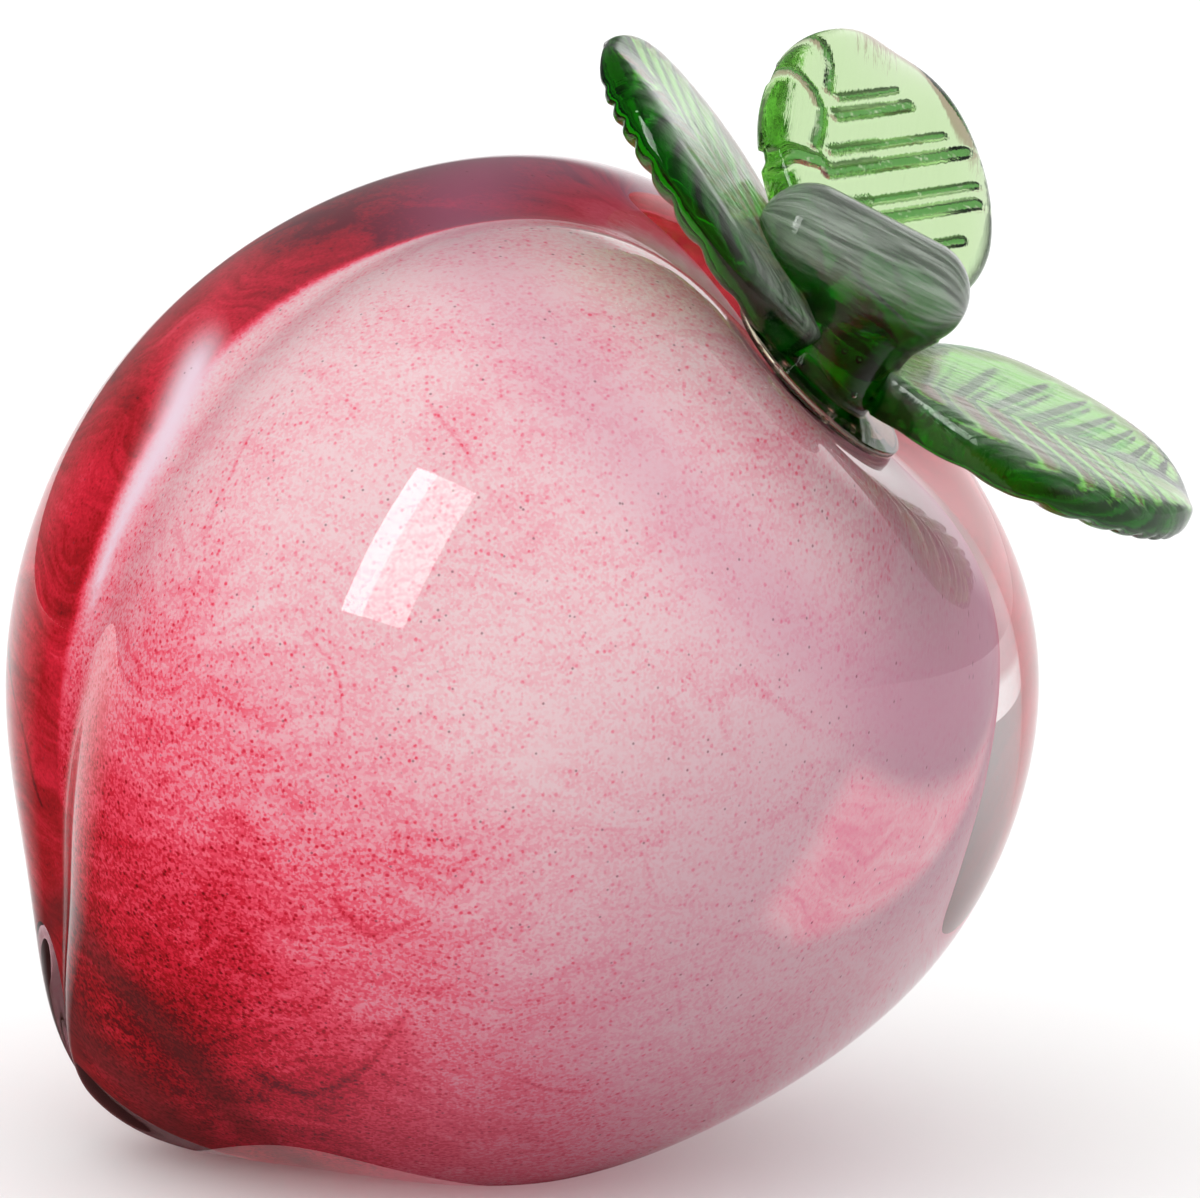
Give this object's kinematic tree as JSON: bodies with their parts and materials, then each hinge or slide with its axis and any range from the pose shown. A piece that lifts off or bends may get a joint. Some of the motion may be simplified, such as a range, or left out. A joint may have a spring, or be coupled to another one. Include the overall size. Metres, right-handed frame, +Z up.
{
  "type": "crystal peach figurine",
  "caption": "Solid crystal peach with a pink and red heart, a cleft, a pointed tip and a sprig of stem and pressed leaves in green glass; an ornament that rests on its ground base.",
  "frame": {"origin": "on the ground base, straight below the middle of the body", "axes": "+Z up from the base; +X to the side that the stem end leans to; +Y away from the viewer of the picture"},
  "size_m": [0.0903, 0.0776, 0.0868],
  "materials": {
    "clear_crystal": "polished",
    "pink_frit_glass": "speckled powder between two gathers",
    "clear_cement": "clear, set with bubbles",
    "dark_green_glass": "fire polished",
    "green_glass": "pressed and fire polished"
  },
  "bodies": {
    "root": {"clear_core": "clear_crystal", "colour_layer": "pink_frit_glass", "clear_casing": "clear_crystal", "seat_bead": "clear_cement", "stem": "dark_green_glass", "leaf_left": "green_glass", "leaf_back": "green_glass", "leaf_right": "green_glass"}
  },
  "joints": []
}
